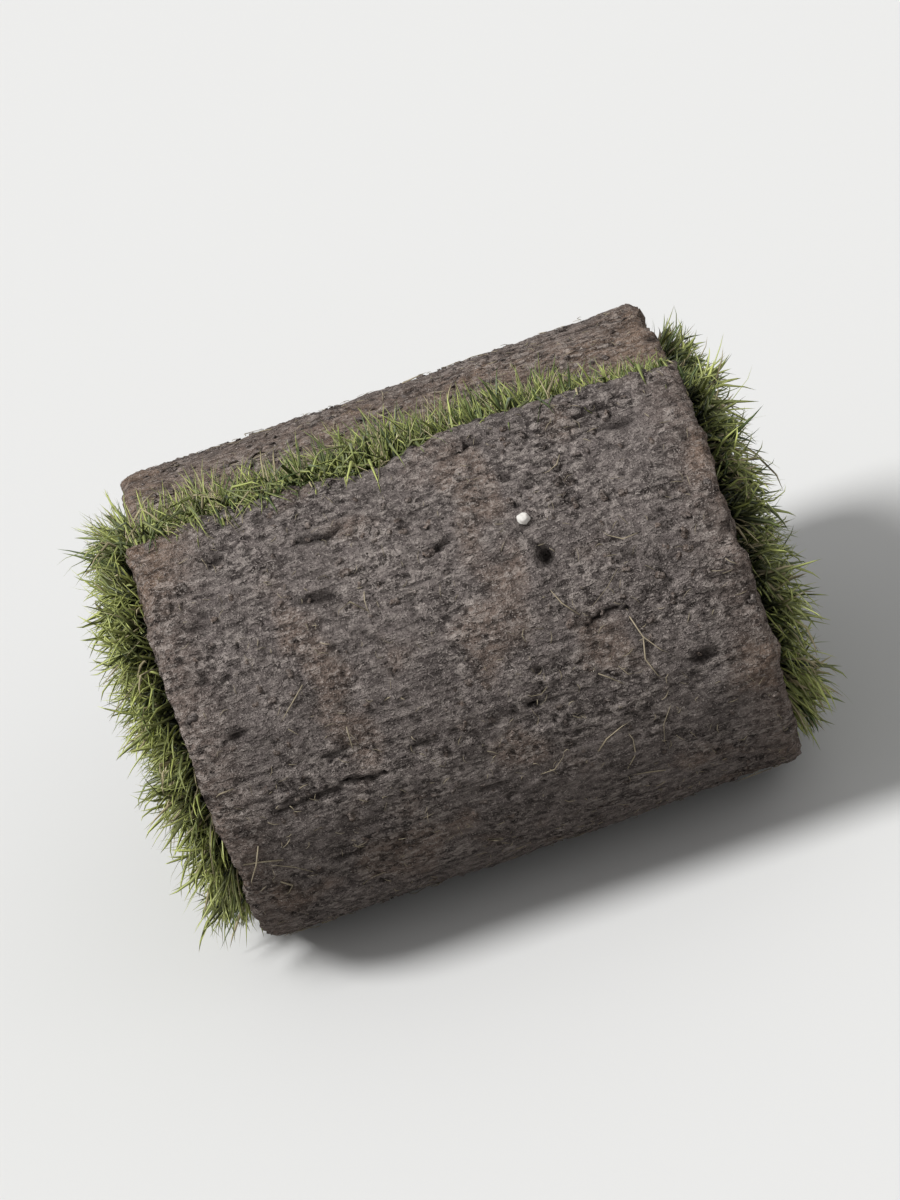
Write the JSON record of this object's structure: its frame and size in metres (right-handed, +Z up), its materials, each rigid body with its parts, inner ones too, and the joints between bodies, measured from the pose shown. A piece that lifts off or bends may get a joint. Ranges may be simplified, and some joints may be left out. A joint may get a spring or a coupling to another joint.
{
  "type": "roll of turf",
  "caption": "Rolled strip of lawn turf, soil outwards and grass inwards, slumped to an oval with its outer end lapped over the top.",
  "frame": {"origin": "on the floor under the centre of the roll's bounding box", "axes": "+X along the roll's axis, +Y to the back, away from the lapped end's face, +Z up"},
  "size_m": [0.299, 0.2753, 0.2184],
  "materials": {
    "soil": "moist crumbly loam, matt",
    "grass": "soft green blades with straw-coloured thatch",
    "pebble": "smooth pale stone"
  },
  "bodies": {
    "root": {"turf_roll": "soil"}
  },
  "joints": []
}
